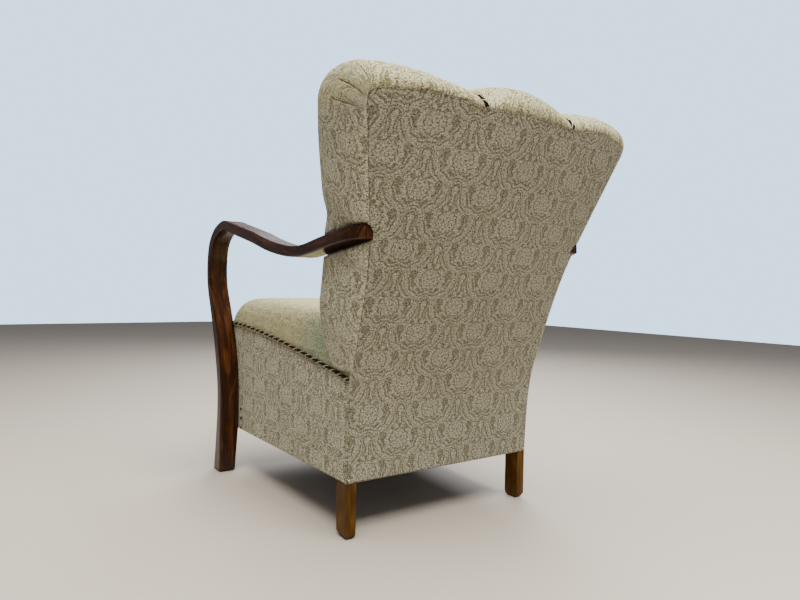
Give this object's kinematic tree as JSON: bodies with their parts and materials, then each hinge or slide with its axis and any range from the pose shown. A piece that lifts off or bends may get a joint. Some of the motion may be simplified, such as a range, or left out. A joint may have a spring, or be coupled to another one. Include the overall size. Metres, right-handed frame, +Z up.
{
  "type": "fireside chair",
  "caption": "Upholstered fireside armchair with bent show-wood arms that run down into the front legs, a sprung seat and a flared channelled back",
  "frame": {"origin": "on the floor, under the middle of the chair's bounding box", "axes": "+Z up, the front of the chair towards -Y, +X towards the sitter's left; the chair is symmetric about the plane X = 0"},
  "size_m": [0.7054, 0.9221, 0.8937],
  "materials": {
    "show_wood": "satin walnut stain, worn polish",
    "leg_wood": "satin walnut stain, worn arrises",
    "frame_wood": "sawn beech, unfinished",
    "glide": "matt",
    "steel": "plain",
    "spring_steel": "coppered and dulled",
    "jute": "plain weave",
    "cover_cloth": "damask weave, olive on beige",
    "seat_cloth": "damask weave, lightly worn",
    "dust_cloth": "thin plain weave",
    "cord": "twisted, black and cream",
    "tack": "black japanned",
    "nail": "bright"
  },
  "bodies": {
    "root": {"arm_left": "show_wood", "arm_right": "show_wood", "rear_leg_left": "leg_wood", "rear_leg_right": "leg_wood", "foot_glides": "glide", "front_rail": "frame_wood", "rear_rail": "frame_wood", "side_rail_left": "frame_wood", "side_rail_right": "frame_wood", "corner_blocks": "frame_wood", "crest_rail": "frame_wood", "lumbar_rail": "frame_wood", "leg_bolts": "steel", "arm_screws": "steel", "seat_webbing": "jute", "seat_springs": "spring_steel", "seat_hessian": "jute", "back_webbing": "jute", "back_hessian": "jute", "seat_pad": "seat_cloth", "channel_left": "cover_cloth", "channel_middle": "cover_cloth", "channel_right": "cover_cloth", "side_panel_left": "cover_cloth", "side_panel_right": "cover_cloth", "front_panel": "cover_cloth", "outside_back": "cover_cloth", "dust_cover": "dust_cloth", "seat_cord_left": "cord", "seat_cord_right": "cord", "seat_cord_front": "cord", "channel_cord_left": "cord", "channel_cord_right": "cord", "panel_tacks": "tack", "corner_nails": "nail"}
  },
  "joints": []
}
